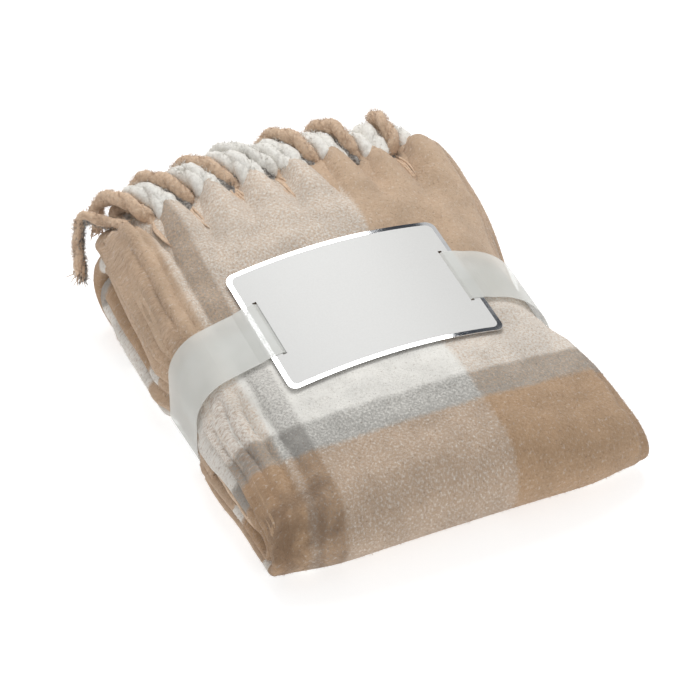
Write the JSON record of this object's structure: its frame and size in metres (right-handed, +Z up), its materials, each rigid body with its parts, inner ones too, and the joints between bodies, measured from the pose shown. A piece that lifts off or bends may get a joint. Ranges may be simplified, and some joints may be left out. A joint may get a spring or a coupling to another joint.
{
  "type": "folded throw blanket",
  "caption": "Fringed woven throw folded into a flat rectangular bundle, held by a sliding film band threaded through an arched card.",
  "frame": {"origin": "on the ground, under the middle of the whole bundle", "axes": "+X along the smooth front fold, +Y from the front fold to the fringe at the back, +Z up"},
  "size_m": [0.2512, 0.332, 0.1024],
  "materials": {
    "cloth": "brushed woven plaid",
    "fringe": "twisted brushed yarn",
    "film": "frosted translucent film",
    "tape": "clear tape",
    "mirror_board": "metallised board",
    "print_panel": "coated, blank"
  },
  "bodies": {
    "blanket": {"blanket_cloth": "cloth", "fringe_layer_2": "fringe", "fringe_layer_3": "fringe", "fringe_layer_4": "fringe", "fringe_layer_5": "fringe", "inner_fringe_layer_1": "fringe", "inner_fringe_layer_2": "fringe", "inner_fringe_layer_3": "fringe", "inner_fringe_layer_4": "fringe", "inner_fringe_layer_5": "fringe"},
    "band": {"band_film": "film", "band_tape": "tape", "card_board": "mirror_board", "card_print_panel": "print_panel"},
    "tassel_1": {"tassel_1": "fringe"},
    "tassel_2": {"tassel_2": "fringe"},
    "tassel_3": {"tassel_3": "fringe"},
    "tassel_4": {"tassel_4": "fringe"},
    "tassel_5": {"tassel_5": "fringe"},
    "tassel_6": {"tassel_6": "fringe"},
    "tassel_7": {"tassel_7": "fringe"}
  },
  "joints": [
    {"name": "band_slide", "type": "slide", "parent": "blanket", "child": "band", "axis": [0, -1, 0], "range_m": [0, 0.21]},
    {"name": "tassel_1_lift", "type": "hinge", "parent": "blanket", "child": "tassel_1", "pos_m": [-0.093, 0.1228, 0.08396], "axis": [1, 0, 0], "range_deg": [0, 80]},
    {"name": "tassel_2_lift", "type": "hinge", "parent": "blanket", "child": "tassel_2", "pos_m": [-0.063, 0.1228, 0.09026], "axis": [1, 0, 0], "range_deg": [0, 80]},
    {"name": "tassel_3_lift", "type": "hinge", "parent": "blanket", "child": "tassel_3", "pos_m": [-0.033, 0.1228, 0.09408], "axis": [1, 0, 0], "range_deg": [0, 80]},
    {"name": "tassel_4_lift", "type": "hinge", "parent": "blanket", "child": "tassel_4", "pos_m": [-0.003, 0.1228, 0.0955], "axis": [1, 0, 0], "range_deg": [0, 80]},
    {"name": "tassel_5_lift", "type": "hinge", "parent": "blanket", "child": "tassel_5", "pos_m": [0.027, 0.1228, 0.09455], "axis": [1, 0, 0], "range_deg": [0, 80]},
    {"name": "tassel_6_lift", "type": "hinge", "parent": "blanket", "child": "tassel_6", "pos_m": [0.057, 0.1228, 0.09121], "axis": [1, 0, 0], "range_deg": [0, 80]},
    {"name": "tassel_7_lift", "type": "hinge", "parent": "blanket", "child": "tassel_7", "pos_m": [0.087, 0.1228, 0.08542], "axis": [1, 0, 0], "range_deg": [0, 80]}
  ]
}
